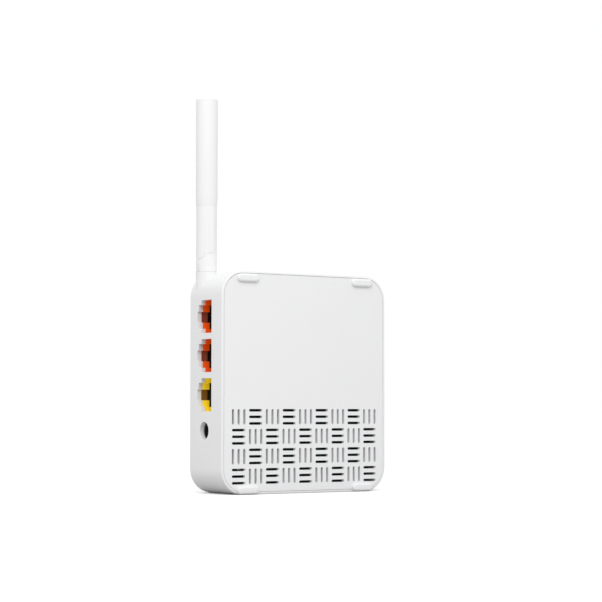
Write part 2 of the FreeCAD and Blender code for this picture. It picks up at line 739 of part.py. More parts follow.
def make_main_chip():
    """Processor with a soft thermal pad and a finned heat sink on top."""
    back = "size.board_face"
    chip = block("main_chip", "size.chip_left", back, "size.chip_bottom", "size.chip_side",
                 "size.chip_rise", "size.chip_side")
    node(chip, "main_chip")
    thermal = block("thermal_pad", "size.chip_left", back + " + size.chip_rise",
                    "size.chip_bottom", "size.chip_side", "size.pad_rise", "size.chip_side")
    node(thermal, "thermal_pad")

    sink = new_body("heat_sink")
    middle = ("size.chip_left + size.chip_side / 2", "size.chip_bottom + size.chip_side / 2")
    top = "-(%s + size.chip_rise + size.pad_rise + size.sink_rise)" % back
    square = new_sketch(sink, "sink_outline", "XZ_Plane", *middle, top)
    half = "size.sink_side / 2"
    draw_box(square, "-" + half, half, "-" + half, half)
    pad(sink, "sink_block", square, "size.sink_rise")
    pitch = "(size.sink_side - size.sink_fin_width) / (size.sink_fins - 1)"
    gap = new_sketch(sink, "fin_gap_outline", "XZ_Plane", *middle, top)
    start = "-%s + size.sink_fin_width" % half
    draw_box(gap, start, "-%s + %s" % (half, pitch), "-%s - 1" % half, half + " + 1")
    cut_depth = "size.sink_rise - size.sink_base"
    first_gap = pocket(sink, "first_fin_gap", gap, cut_depth, flip=True)
    repeat(sink, "fin_gaps", first_gap, gap, "H_Axis", pitch, int(SIZES["sink_fins"]) - 1)


def make_shield_can():
    """Folded sheet cover over the radio parts, open towards the board."""
    back = "size.board_face"
    outer = block("shield_outside", "size.shield_left", back, "size.shield_bottom",
                  "size.shield_length", "size.shield_rise", "size.shield_side")
    sheet = "size.shield_sheet"
    hollow = block("shield_inside", "size.shield_left + " + sheet, back,
                   "size.shield_bottom + " + sheet, "size.shield_length - 2 * " + sheet,
                   "size.shield_rise - " + sheet, "size.shield_side - 2 * " + sheet)
    node(cut("shield_can", outer, hollow), "shield_can")


def make_small_parts():
    for label, places in SMALL_PARTS:
        blocks = []
        for i, (left, low, length, width, rise) in enumerate(places, 1):
            blocks.append(block("%s_block_%d" % (label, i), str(left), "size.board_face",
                                str(low), str(length), str(rise), str(width)))
        group(label, blocks)


def make_capacitors():
    cans = []
    for i, (across, up) in enumerate(CAPACITOR_PLACES, 1):
        cans.append(rod("capacitor_%d" % i, "size.capacitor_radius", "size.capacitor_rise",
                        str(across), "size.board_face", str(up), "Y"))
    group("capacitors", cans)


def make_leds():
    leds = []
    half = "size.led_side / 2"
    for i, across in enumerate(row_of(LEDS, "size.led_pitch"), 1):
        leds.append(block("led_%d" % i, "%s - %s" % (across, half), "size.board_face",
                          "size.led_height - " + half, "size.led_side", "size.led_rise",
                          "size.led_side"))
    group("indicator_leds", leds)


def make_reset():
    """Push button in the right wall, and the side-pressed switch that it works."""
    button = new_body("reset_button")
    spot = ("size.reset_axis", "size.reset_height")
    stem = new_sketch(button, "stem_outline", "YZ_Plane", *spot, "size.reset_back")
    draw_circle(stem, "size.reset_cap_radius")
    pad(button, "stem", stem, "size.body_width / 2 + size.reset_cap_rise - size.reset_back")
    flange_face = "size.body_width / 2 - size.wall - size.reset_flange_gap"
    flange = new_sketch(button, "flange_outline", "YZ_Plane", *spot,
                        flange_face + " - size.reset_flange_rise")
    draw_circle(flange, "size.reset_flange_radius")
    pad(button, "flange", flange, "size.reset_flange_rise")

    half = "size.plunger_side / 2"
    plunger = block("reset_plunger", "size.plunger_left", "size.reset_axis - " + half,
                    "size.reset_height - " + half, "size.reset_back - size.plunger_left",
                    "size.plunger_side", "size.plunger_side")
    node(plunger, "reset_plunger")

    case = block("switch_case", "size.switch_left", "size.board_face",
                 "size.reset_height - size.switch_side / 2",
                 "size.switch_right - size.switch_left", "size.switch_rise",
                 "size.switch_side")
    room = "(%s + size.plunger_play)" % half
    slot = block("switch_slot", "size.switch_right - size.plunger_room",
                 "size.reset_axis - " + room, "size.reset_height - " + room,
                 "size.plunger_room + 1", "2 * " + room, "2 * " + room)
    node(cut("reset_switch", case, slot), "reset_switch")


def antenna_sketch(body, name, role, level):
    """A sketch whose own origin is on the antenna's axis, at a given height."""
    across, back = "size.antenna_across", "size.antenna_axis"
    if role == "XY_Plane":
        return new_sketch(body, name, role, across, back, level)
    return new_sketch(body, name, role, back, level, across)


def draw_arc_profile(sketch, radius, before, after):
    """Join an arc about the sketch's origin to a chain of straight lines.

    before and after are the arc's two end angles in degrees; the chain runs on from the
    arc's end, through corners given as expressions, back to the arc's beginning.
    """
    (begin, end), corners = before, after
    axis = FreeCAD.Vector(0, 0, 1)
    circle = Part.Circle(FreeCAD.Vector(0, 0, 0), axis, 3.0)
    first = sketch.GeometryCount
    sketch.addGeometry(Part.ArcOfCircle(circle, math.radians(begin), math.radians(end)), False)
    sketch.addConstraint(Sketcher.Constraint("Coincident", first, 3, -1, 1))
    hold(sketch, Sketcher.Constraint("Radius", first, 3.0), radius)
    for angle, tip in ((begin, 1), (end, 2)):
        on_vertical = round(angle / 90) % 2 == 1
        sketch.addConstraint(Sketcher.Constraint("PointOnObject", first, tip,
                                                 -2 if on_vertical else -1))
    spot = FreeCAD.Vector(3 * math.cos(math.radians(end)), 3 * math.sin(math.radians(end)), 0)
    for i in range(len(corners) + 1):
        following = spot + FreeCAD.Vector(0.3, 0.2 * (i + 1), 0)
        sketch.addGeometry(Part.LineSegment(spot, following), False)
        spot = following
    sketch.addConstraint(Sketcher.Constraint("Coincident", first, 2, first + 1, 1))
    for i, (across, up) in enumerate(corners):
        line = first + 1 + i
        sketch.addConstraint(Sketcher.Constraint("Coincident", line, 2, line + 1, 1))
        hold(sketch, Sketcher.Constraint("DistanceX", -1, 1, line, 2, 1.0), across)
        hold(sketch, Sketcher.Constraint("DistanceY", -1, 1, line, 2, 1.0), up)
    last = first + 1 + len(corners)
    sketch.addConstraint(Sketcher.Constraint("Coincident", last, 2, first, 1))


def make_antenna_base():
    """Swivel base: a cup and tongue above the boss, and a neck through it."""
    body = new_body("antenna_base")
    cup = antenna_sketch(body, "cup_outline", "XY_Plane", "size.base_bottom")
    draw_circle(cup, "size.base_radius")
    pad(body, "cup_block", cup, "size.base_top - size.base_bottom")
    hollow = antenna_sketch(body, "cup_hollow_outline", "YZ_Plane", "size.fold_height")
    reach = "(size.knuckle_end_radius + size.fold_gap)"
    draw_arc_profile(hollow, reach, (180, 270), [("6", "-" + reach), ("6", "0")])
    pocket(body, "cup_hollow", hollow, "4 * size.base_radius", both_ways=True)
    tongue = antenna_sketch(body, "tongue_outline", "YZ_Plane", "size.fold_height")
    foot = "-%s - 0.5" % reach
    draw_arc_profile(tongue, "size.tongue_radius", (0, 180),
                     [("-size.tongue_radius", foot), ("size.tongue_radius", foot)])
    pad(body, "tongue", tongue, "size.tongue_thickness", both_ways=True)
    eye = antenna_sketch(body, "eye_outline", "YZ_Plane", "size.fold_height")
    draw_circle(eye, "size.pivot_radius + size.pivot_play")
    pocket(body, "eye", eye, "4 * size.base_radius", both_ways=True)
    neck = antenna_sketch(body, "neck_outline", "XY_Plane", "size.neck_bottom")
    draw_circle(neck, "size.neck_radius")
    pad(body, "neck", neck, "size.base_bottom - size.neck_bottom")
    ring = antenna_sketch(body, "groove_outline", "XY_Plane", "size.groove_bottom")
    draw_circle(ring, "size.groove_radius")
    draw_circle(ring, "size.neck_radius + 1")
    pocket(body, "groove", ring, "size.groove_width", flip=True)
    bore = antenna_sketch(body, "lead_bore_outline", "XY_Plane", "size.neck_bottom")
    draw_circle(bore, "size.lead_bore_radius")
    pocket(body, "lead_bore", bore, "size.fold_height - 5.5 - size.neck_bottom", flip=True)
    channel = antenna_sketch(body, "lead_channel_outline", "YZ_Plane", "size.fold_height")
    draw_outline(channel, [("-0.75", "-6.2"), ("0.9", "-6.2"), ("2.8", "-3.4"),
                           ("2.8", "2.6"), ("1.3", "2.6"), ("1.2", "-2.9"), ("-0.75", "-5")])
    pocket(body, "lead_channel", channel, "2 * size.lead_bore_radius", both_ways=True)


def make_antenna_clip():
    """Open spring ring in the neck's groove, under the boss."""
    ring = new_body("antenna_clip")
    flat = antenna_sketch(ring, "clip_outline", "XY_Plane", "size.groove_bottom + 0.02")
    draw_circle(flat, "size.groove_radius + 0.02")
    draw_circle(flat, "size.clip_radius")
    pad(ring, "clip_ring", flat, "size.clip_thickness")
    mouth = antenna_sketch(ring, "clip_mouth_outline", "XY_Plane", "size.groove_bottom - 1")
    half = "size.clip_mouth / 2"
    draw_box(mouth, "0", "5", "-" + half, half)
    pocket(ring, "clip_mouth", mouth, "4", flip=True)


def make_antenna_pivot():
    """Steel pivot pin and the two friction washers beside the tongue."""
    pin = rod("pivot_pin", "size.pivot_radius", "size.pivot_length",
              "size.antenna_across + size.pivot_left", "size.antenna_axis",
              "size.fold_height", "X")
    node(pin, "pivot_pin")
    washers = []
    inner_face = "(size.tongue_thickness / 2 + size.washer_play)"
    for name, start in (
        ("left", "size.antenna_across - %s - size.washer_thickness" % inner_face),
        ("right", "size.antenna_across + " + inner_face),
    ):
        spot = ("size.antenna_axis", "size.fold_height", "X")
        disc = rod(name + "_washer_disc", "size.washer_radius", "size.washer_thickness",
                   start, *spot)
        hole = rod(name + "_washer_hole", "size.pivot_radius + size.pivot_play",
                   "size.washer_thickness", start, *spot)
        washers.append(cut(name + "_washer", disc, hole))
    group("pivot_washers", washers)


def make_antenna_knuckle():
    """Fork that folds on the pivot, with a spigot for the sleeve above it."""
    body = new_body("antenna_knuckle")
    lowest = "size.fold_height - size.knuckle_end_radius"
    stem = antenna_sketch(body, "knuckle_outline", "XY_Plane", lowest)
    draw_circle(stem, "size.base_radius")
    pad(body, "knuckle_stem", stem, "size.knuckle_top - (%s)" % lowest)
    rounding = antenna_sketch(body, "knuckle_end_outline", "YZ_Plane", "size.fold_height")
    wide = "(size.knuckle_end_radius + 1)"
    draw_arc_profile(rounding, "size.knuckle_end_radius", (180, 360),
                     [(wide, "0"), (wide, "-" + wide), ("-" + wide, "-" + wide),
                      ("-" + wide, "0")])
    pocket(body, "knuckle_end", rounding, "4 * size.base_radius", both_ways=True)
    gap = antenna_sketch(body, "fork_gap_outline", "YZ_Plane", "size.fold_height")
    room = "size.fork_room"
    draw_box(gap, "-" + room, "6", "-6", room)
    pocket(body, "fork_gap", gap, "size.fork_gap", both_ways=True)
    right = "size.antenna_across + size.base_radius"
    hole = new_sketch(body, "pivot_hole_outline", "YZ_Plane", "size.antenna_axis",
                      "size.fold_height", right)
    draw_circle(hole, "size.pivot_radius + 0.02")
    pocket(body, "pivot_hole", hole, "size.base_radius - size.pivot_left")
    spigot = antenna_sketch(body, "spigot_outline", "XY_Plane", "size.knuckle_top")
    draw_circle(spigot, "size.spigot_radius")
    pad(body, "spigot", spigot, "size.spigot_length")
    bore = antenna_sketch(body, "knuckle_bore_outline", "XY_Plane", "size.fold_height")
    draw_circle(bore, "size.lead_bore_radius")
    pocket(body, "knuckle_bore", bore, "30", flip=True)


def make_antenna_sleeve():
    """Long moulded tube, closed by a flat end."""
    body = new_body("antenna_sleeve")
    length = "(size.sleeve_top - size.knuckle_top)"
    outside = antenna_sketch(body, "sleeve_outline", "XY_Plane", "size.knuckle_top")
    draw_circle(outside, "size.sleeve_radius")
    pad(body, "sleeve_rod", outside, length)
    top = SIZES["sleeve_top"]
    round_edges(body, "sleeve_end", "size.sleeve_edge_radius", lambda p: p.z > top - 0.01)
    bore = antenna_sketch(body, "sleeve_bore_outline", "XY_Plane", "size.knuckle_top")
    draw_circle(bore, "size.sleeve_bore_radius")
    pocket(body, "sleeve_bore", bore, length + " - size.sleeve_roof", flip=True)


def make_radiator():
    """Brass tube and whip of the aerial, and the lead that feeds them."""
    spot = ("size.antenna_across", "size.antenna_axis")
    outside = rod("radiator_outside", "size.radiator_radius", "size.radiator_length",
                  *spot, "size.radiator_bottom")
    inside = rod("radiator_inside", "size.radiator_radius - size.radiator_wall",
                 "size.radiator_length", *spot, "size.radiator_bottom")
    node(cut("radiator_tube", outside, inside), "radiator_tube")
    feed_top = "size.radiator_bottom + size.radiator_length"
    lead_bottom = "size.fold_height + size.fork_room + 0.3"
    lead = rod("antenna_lead", "size.lead_radius", "%s - (%s)" % (feed_top, lead_bottom),
               *spot, lead_bottom)
    node(lead, "antenna_lead")
    whip = rod("radiator_whip", "size.whip_radius", "size.whip_top - (%s)" % feed_top,
               *spot, feed_top)
    node(whip, "radiator_whip")


def make_lead(label, points):
    """Sweep the lead's round section along a smooth line through the points."""
    path = Part.BSplineCurve()
    path.interpolate([FreeCAD.Vector(*point) for point in points])
    start = path.value(path.FirstParameter)
    along = path.tangent(path.FirstParameter)[0]
    section = Part.Wire(Part.Circle(start, along, SIZES["lead_radius"]).toShape())
    lead = doc.addObject("Part::Feature", label)
    lead.Shape = Part.Wire(path.toShape()).makePipeShell([section], True, False)
    return node(lead, label)


def make_leads():
    """The lead's stretch inside the swivel base, and its tail down to the board plug."""
    across, back = SIZES["antenna_across"], SIZES["antenna_axis"]
    fold = SIZES["fold_height"]
    neck = SIZES["neck_bottom"]
    make_lead("hinge_lead", [
        (across, back, neck + 2.0), (across, back, neck + 4.0), (across, back, neck + 6.0),
        (across, back, fold - 8.2), (across, back + 0.08, fold - 6.6),
        (across, back + 0.75, fold - 4.9), (across, back + 1.8, fold - 2.9),
        (across, back + 1.95, fold - 1.0), (across, back + 1.95, fold + 0.9),
    ])
    make_lead("coax_tail", [
        (across, back, neck + 1.6), (across, back, neck + 0.5),
        (across + 0.55, back - 0.2, neck - 0.65), (across + 1.8, back - 0.75, neck - 1.1),
        (-26.0, 5.0, 71.9), (-20.0, 2.5, 72.4), (-17.6, -1.5, 73.0),
        (-16.9, -4.2, 73.0), (-16.0, -5.15, 73.0), (-15.45, -5.25, 73.0),
    ])
    plug = rod("coax_plug", "1.4", "1.4", "-14.0", "size.board_face", "73.0", "Y")
    node(plug, "coax_plug")


def check_and_export():
    """Refuse broken features, then write one STEP file for each node."""
    doc.recompute()
    for thing in doc.Objects:
        states = list(getattr(thing, "State", []))
        if "Invalid" in states or "Error" in states:
            raise RuntimeError("%s is %s" % (thing.Name, states))
    os.makedirs("parts", exist_ok=True)
    for thing in nodes:
        if thing.Shape.isNull() or not thing.Shape.isValid() or not thing.Shape.Solids:
            raise RuntimeError("%s has no valid solid" % thing.Label)
        thing.Shape.exportStep("parts/%s.step" % thing.Label)
        print("%-24s %2d solids %9.2f mm3" % (thing.Label, len(thing.Shape.Solids),
                                               thing.Shape.Volume))


make_sheet()
make_front_housing()
make_back_cover()
make_light_guide()
make_board()
make_board_screws()
for socket_label, contact_label, place in (
    ("yellow_socket", "yellow_socket_contacts", 0),
    ("lower_orange_socket", "lower_orange_contacts", 1),
    ("upper_orange_socket", "upper_orange_contacts", 2),
):
    socket_height = "size.lowest_socket + %d * size.socket_pitch" % place
    make_socket(socket_label, socket_height)
    make_contacts(contact_label, socket_height)
make_supply_socket()
make_line_transformers()
make_main_chip()
make_shield_can()
make_small_parts()
make_capacitors()
make_leds()
make_reset()
make_antenna_base()
make_antenna_clip()
make_antenna_pivot()
make_antenna_knuckle()
make_antenna_sleeve()
make_radiator()
make_leads()
check_and_export()
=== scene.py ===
"""Looks of the compact wireless network terminal, laid out as a Blender add-on.

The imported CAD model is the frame. Operators in this file make the finishes, the moulded
pieces' rounded surfaces, the antenna's sleeve, the sockets' contact wires and the studio.
"""

import json
import math

import bmesh
import bpy
import numpy as np
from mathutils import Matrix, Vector


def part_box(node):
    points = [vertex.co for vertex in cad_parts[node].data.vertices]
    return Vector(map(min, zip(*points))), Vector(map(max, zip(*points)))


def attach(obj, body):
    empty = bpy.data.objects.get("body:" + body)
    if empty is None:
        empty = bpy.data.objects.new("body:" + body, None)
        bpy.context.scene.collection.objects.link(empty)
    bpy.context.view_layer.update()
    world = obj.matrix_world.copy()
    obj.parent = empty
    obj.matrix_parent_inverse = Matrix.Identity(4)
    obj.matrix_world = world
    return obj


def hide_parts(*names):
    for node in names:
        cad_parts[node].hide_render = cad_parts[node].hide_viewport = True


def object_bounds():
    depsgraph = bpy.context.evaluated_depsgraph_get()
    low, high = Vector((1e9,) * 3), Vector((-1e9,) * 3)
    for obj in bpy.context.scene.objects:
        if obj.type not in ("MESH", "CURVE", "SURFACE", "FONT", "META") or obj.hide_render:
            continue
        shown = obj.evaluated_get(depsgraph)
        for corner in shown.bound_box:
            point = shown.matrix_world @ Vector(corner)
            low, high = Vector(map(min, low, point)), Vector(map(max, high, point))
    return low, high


bl_info = {
    "name": "Network terminal looks",
    "version": (1, 0, 0),
    "blender": (4, 5, 0),
    "location": "View3D > Sidebar > Terminal",
    "description": "Finishes and studio for the network terminal",
    "category": "Object",
}

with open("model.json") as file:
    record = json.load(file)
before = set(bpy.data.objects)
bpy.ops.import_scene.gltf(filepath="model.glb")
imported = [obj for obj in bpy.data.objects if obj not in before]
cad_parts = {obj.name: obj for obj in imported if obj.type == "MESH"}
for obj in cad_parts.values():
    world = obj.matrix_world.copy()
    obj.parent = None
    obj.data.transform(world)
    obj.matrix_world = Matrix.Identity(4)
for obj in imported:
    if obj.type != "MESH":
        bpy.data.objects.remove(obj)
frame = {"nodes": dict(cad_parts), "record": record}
CAD_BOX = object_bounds()

# CAD nodes that show outside, and the bevel that a mould leaves on their corners.
MOULDED_PIECES = {
    "front_housing": 0.00005,
    "back_cover": 0.00005,
    "reset_button": 0.00015,
    "antenna_base": 0.00003,
    "antenna_knuckle": 0.00003,
    "yellow_socket": 0.00012,
    "lower_orange_socket": 0.00012,
    "upper_orange_socket": 0.00012,
    "supply_socket": 0.00012,
}

CONTACT_NODES = {
    "yellow_socket_contacts": "yellow_socket",
    "lower_orange_contacts": "lower_orange_socket",
    "upper_orange_contacts": "upper_orange_socket",
}

# Surface detail of the finishes: how deep the grain is, the scales of its noise, what
# settles on a shelf, and what metal turns to.
RELIEF_DEPTH = 0.00002
CLOUD_SCALE = 55.0
SMEAR_SCALE = 210.0
TARNISH_SCALE = 700.0
MASK_SCALE = 2400.0
TRACK_EDGE = 0.42
DUST_COLOUR = (0.55, 0.50, 0.43, 1.0)
TARNISH_COLOUR = (0.20, 0.16, 0.11, 1.0)

# Where a socket's colour starts to fall off into painted shade, in the frame: past the lip
# along X, and in the latch slot along Y. Then the painted shade it falls to in each colour
# of socket, and the strength of the emission that paints extra light on the plastic.
LIP_END = -0.0309
SLOT_ROOF = 0.0068
PAINTED_SHADE_FADE = 0.00025
ORANGE_PAINTED_SHADE_AND_GLOW = {"painted_slot_shade": (0.235, 0.060, 0.034),
                "painted_hollow_shade": (0.012, 0.005, 0.004), "painted_glow": 0.19}
YELLOW_PAINTED_SHADE_AND_GLOW = {"painted_slot_shade": (0.165, 0.077, 0.015),
                "painted_hollow_shade": (0.012, 0.008, 0.004), "painted_glow": 0.32}

# Joining triangles into faces: how far from flat two of them may be.
FLAT_ANGLE = math.radians(0.5)

# The sleeve's wall at its bore, the thickness of its closed end, how far inside the bore
# its rings stand from both ends, and the angle above which its edges stay sharp.
SLEEVE_WALL = 0.0007
SLEEVE_ROOF = 0.001
BORE_CORNER = 0.001
TURNED_SHARP_ANGLE = math.radians(40.0)
POLE_MERGE = 0.000001

# The bends of a socket's spring wire, in metres from its node's own box: the shelf it
# crosses, where it starts to climb, its crest and its dipped tip.
WIRE_HALF_THICKNESS = 0.000175
SHELF_RISE = 0.0027
SHELF_RUN = 0.0028
CLIMB_START = 0.0098
CREST_PLACE = 0.0013
CREST_LIFT = 0.0001
TIP_PLACE = 0.00015
TIP_DROP = 0.0011
BEND_STEPS = 7

# The studio, in metres from the middle of the terminal's lower edge.
KEY_PLACE = (-0.20, -0.36, 0.36)
KEY_TARGET = (-0.03, -0.01, 0.09)
FILL_PLACE = (-0.45, -0.25, 0.03)
FILL_TARGET = (-0.03, -0.01, 0.04)
LIGHT_DIAMETER = 0.3
CAMERA_TARGET = (-0.01036, -0.02466, 0.06936)
FLOOR_HALF_WIDTH = 6.0
FLOOR_GLOW = 0.06
WHITE = (1.0, 1.0, 1.0, 1.0)


class TerminalSizes(bpy.types.PropertyGroup):
    """Sizes of the detail that the finished pieces add to the frame."""

    merge_distance: bpy.props.FloatProperty(
        name="Merge distance", description="Vertices closer than this become one",
        default=0.000002, min=0.0, unit="LENGTH", precision=6)
    smooth_angle: bpy.props.FloatProperty(
        name="Smooth angle", description="Edges flatter than this are shaded smooth",
        default=math.radians(32.0), subtype="ANGLE")
    contact_count: bpy.props.IntProperty(
        name="Contacts", description="Spring wires in each network socket", default=8, min=1)
    contact_pitch: bpy.props.FloatProperty(
        name="Contact pitch", description="Spacing of the spring wires",
        default=0.00102, unit="LENGTH", precision=5)
    contact_width: bpy.props.FloatProperty(
        name="Contact width", description="Width of a spring wire",
        default=0.00043, unit="LENGTH", precision=5)
    sleeve_segments: bpy.props.IntProperty(
        name="Sleeve segments", description="Faces around the antenna sleeve",
        default=96, min=12)
    sleeve_end_radius: bpy.props.FloatProperty(
        name="Sleeve end radius", description="Rounding of the sleeve's two ends",
        default=0.00045, unit="LENGTH", precision=5)
    sleeve_taper: bpy.props.FloatProperty(
        name="Sleeve taper", description="How much the sleeve narrows at its foot",
        default=0.00017, unit="LENGTH", precision=5)
    sleeve_taper_length: bpy.props.FloatProperty(
        name="Taper length", description="Height over which the sleeve narrows",
        default=0.0035, unit="LENGTH", precision=5)


class TerminalColours(bpy.types.PropertyGroup):
    """Colours of the moulded pieces and of the board."""

    shell: bpy.props.FloatVectorProperty(
        name="Shell", description="Moulded housing and cover", subtype="COLOR",
        default=(0.80, 0.801, 0.808), min=0.0, max=1.0)
    antenna: bpy.props.FloatVectorProperty(
        name="Antenna", description="Moulded antenna pieces", subtype="COLOR",
        default=(0.815, 0.815, 0.817), min=0.0, max=1.0)
    orange: bpy.props.FloatVectorProperty(
        name="Orange socket", description="Moulded orange sockets", subtype="COLOR",
        default=(0.84, 0.095, 0.004), min=0.0, max=1.0)
    yellow: bpy.props.FloatVectorProperty(
        name="Yellow socket", description="Moulded yellow socket", subtype="COLOR",
        default=(0.88, 0.62, 0.02), min=0.0, max=1.0)
    board: bpy.props.FloatVectorProperty(
        name="Board", description="Solder mask of the main board", subtype="COLOR",
        default=(0.006, 0.020, 0.012), min=0.0, max=1.0)


class TerminalStudio(bpy.types.PropertyGroup):
    """Camera and light of the studio."""

    camera_azimuth: bpy.props.FloatProperty(
        name="Azimuth", description="Turn of the view from the back cover's normal",
        default=math.radians(-32.378), subtype="ANGLE")
    camera_elevation: bpy.props.FloatProperty(
        name="Elevation", description="Height of the camera's line above level",
        default=math.radians(-3.503), subtype="ANGLE")
    camera_distance: bpy.props.FloatProperty(
        name="Distance", description="Camera to the middle of the view",
        default=0.6372, unit="LENGTH")
    camera_lens: bpy.props.FloatProperty(
        name="Lens", description="Focal length in millimetres", default=106.18)
    sky_strength: bpy.props.FloatProperty(
        name="Sky strength", description="Even light of the white tent", default=1.0)
    floor_bounce: bpy.props.FloatProperty(
        name="Floor bounce", description="Share of light that the floor throws back",
        default=0.5, min=0.0, max=1.0)
    key_power: bpy.props.FloatProperty(
        name="Key power", description="Large soft light, upper left", default=0.92)
    fill_power: bpy.props.FloatProperty(
        name="Fill power", description="Weak soft light, low on the socket side",
        default=0.12)


def sizes():
    """The scene's sizes of added detail."""
    return bpy.context.scene.terminal_sizes


def colours():
    """The scene's colours of the moulded pieces."""
    return bpy.context.scene.terminal_colours


# ---------------------------------------------------------------- node groups


def new_group(name, inputs, outputs):
    """Make a shader node group with named sockets, and return it with its two ends."""
    group = bpy.data.node_groups.new(name, "ShaderNodeTree")
    for label, value in inputs.items():
        kind = "NodeSocketColor" if isinstance(value, tuple) else "NodeSocketFloat"
        socket = group.interface.new_socket(label, in_out="INPUT", socket_type=kind)
        socket.default_value = value
    for label, kind in outputs.items():
        group.interface.new_socket(label, in_out="OUTPUT", socket_type=kind)
    return group, group.nodes.new("NodeGroupInput"), group.nodes.new("NodeGroupOutput")


def add_node(tree, kind, **settings):
    """Add a node of a kind, with its settings, and return it."""
    node = tree.nodes.new(kind)
    for name, value in settings.items():
        setattr(node, name, value)
    return node


def calculate(tree, operation, first, second, third=None):
    """Add a Math node whose inputs are sockets or numbers, and return its output."""
    node = add_node(tree, "ShaderNodeMath", operation=operation)
    for i, value in enumerate((first, second, third)):
        if value is None:
            continue
        if isinstance(value, (int, float)):
            node.inputs[i].default_value = value
        else:
            tree.links.new(value, node.inputs[i])
    return node.outputs[0]


def mix_colour(tree, factor, first, second):
    """Add a colour mix and return its output."""
    node = add_node(tree, "ShaderNodeMix", data_type="RGBA")
    for socket, value in ((node.inputs[0], factor), (node.inputs[6], first),
                          (node.inputs[7], second)):
        if isinstance(value, bpy.types.NodeSocket):
            tree.links.new(value, socket)
        else:
            socket.default_value = value
    return node.outputs[2]


def noise(tree, where, scale, detail, roughness):
    """Add a noise texture at a place socket and return its grey output."""
    node = add_node(tree, "ShaderNodeTexNoise")
    tree.links.new(where, node.inputs["Vector"])
    if isinstance(scale, bpy.types.NodeSocket):
        tree.links.new(scale, node.inputs["Scale"])
    else:
        node.inputs["Scale"].default_value = scale
    node.inputs["Detail"].default_value = detail
    node.inputs["Roughness"].default_value = roughness
    return node.outputs["Fac"]


def make_moulded_group():
    """Moulded plastic: a fine spark-eroded grain, broad faint clouding and soft dust.

    Colour is the base colour, darkened a little by clouds and warmed by dust that
    gathers where the surface faces up. Height is the grain, and roughness follows both.
    """
    group, start, end = new_group(
        "moulded_plastic",
        {"Colour": (0.8, 0.8, 0.8, 1.0), "Grain scale": 5200.0, "Clouding": 0.02,
         "Dust": 0.02, "Roughness": 0.45, "Roughness spread": 0.06},
        {"Colour": "NodeSocketColor", "Roughness": "NodeSocketFloat",
         "Height": "NodeSocketFloat"})
    place = add_node(group, "ShaderNodeTexCoord").outputs["Object"]
    facing = add_node(group, "ShaderNodeNewGeometry").outputs["Normal"]
    grain = noise(group, place, start.outputs["Grain scale"], 4.0, 0.6)
    clouds = noise(group, place, CLOUD_SCALE, 3.0, 0.5)
    smears = noise(group, place, SMEAR_SCALE, 5.0, 0.65)
    upward = add_node(group, "ShaderNodeSeparateXYZ")
    group.links.new(facing, upward.inputs[0])
    shelf = calculate(group, "MAXIMUM", upward.outputs["Z"], 0.0)
    settled = calculate(group, "MULTIPLY", shelf, smears)
    dust = calculate(group, "MULTIPLY", settled, start.outputs["Dust"])
    darker = calculate(group, "MULTIPLY", clouds, start.outputs["Clouding"])
    shade = mix_colour(group, darker, start.outputs["Colour"], (0.0, 0.0, 0.0, 1.0))
    final = mix_colour(group, dust, shade, DUST_COLOUR)
    group.links.new(final, end.inputs["Colour"])
    uneven = calculate(group, "SUBTRACT", smears, 0.5)
    spread = calculate(group, "MULTIPLY", uneven, start.outputs["Roughness spread"])
    rough = calculate(group, "ADD", spread, start.outputs["Roughness"])
    group.links.new(rough, end.inputs["Roughness"])
    group.links.new(grain, end.inputs["Height"])
    return group


def make_metal_group():
    """Drawn or rolled metal: streaks along one axis and small tarnish spots."""
    group, start, end = new_group(
        "drawn_metal",
        {"Colour": (0.7, 0.7, 0.7, 1.0), "Tarnish": 0.15, "Roughness": 0.3,
         "Streak scale": 900.0},
        {"Colour": "NodeSocketColor", "Roughness": "NodeSocketFloat",
         "Height": "NodeSocketFloat"})
    place = add_node(group, "ShaderNodeTexCoord").outputs["Object"]
    stretch = add_node(group, "ShaderNodeMapping")
    stretch.inputs["Scale"].default_value = (0.08, 1.0, 1.0)
    group.links.new(place, stretch.inputs["Vector"])
    streaks = noise(group, stretch.outputs[0], start.outputs["Streak scale"], 3.0, 0.6)
    spots = noise(group, place, TARNISH_SCALE, 4.0, 0.6)
    mask = calculate(group, "MULTIPLY", spots, start.outputs["Tarnish"])
    tint = mix_colour(group, mask, start.outputs["Colour"], TARNISH_COLOUR)
    group.links.new(tint, end.inputs["Colour"])
    spread = calculate(group, "MULTIPLY", streaks, 0.22)
    group.links.new(calculate(group, "ADD", spread, start.outputs["Roughness"]),
                    end.inputs["Roughness"])
    group.links.new(streaks, end.inputs["Height"])
    return group


def make_mask_group():
    """Solder mask over copper: a grid of raised tracks under a glossy dark coat."""
    group, start, end = new_group(
        "solder_mask",
        {"Mask": (0.01, 0.03, 0.02, 1.0), "Track": (0.02, 0.055, 0.03, 1.0),
         "Track scale": 420.0},
        {"Colour": "NodeSocketColor", "Roughness": "NodeSocketFloat",
         "Height": "NodeSocketFloat"})
    place = add_node(group, "ShaderNodeTexCoord").outputs["Object"]
    cells = add_node(group, "ShaderNodeTexVoronoi", distance="CHEBYCHEV",
                     feature="F1")
    group.links.new(place, cells.inputs["Vector"])
    group.links.new(start.outputs["Track scale"], cells.inputs["Scale"])
    lines = calculate(group, "GREATER_THAN", cells.outputs["Distance"], TRACK_EDGE)
    group.links.new(mix_colour(group, lines, start.outputs["Mask"], start.outputs["Track"]),
                    end.inputs["Colour"])
    weave = noise(group, place, MASK_SCALE, 2.0, 0.5)
    group.links.new(calculate(group, "MULTIPLY_ADD", weave, 0.15, 0.28),
                    end.inputs["Roughness"])
    group.links.new(calculate(group, "MULTIPLY_ADD", lines, 0.6, weave), end.inputs["Height"])
    return group


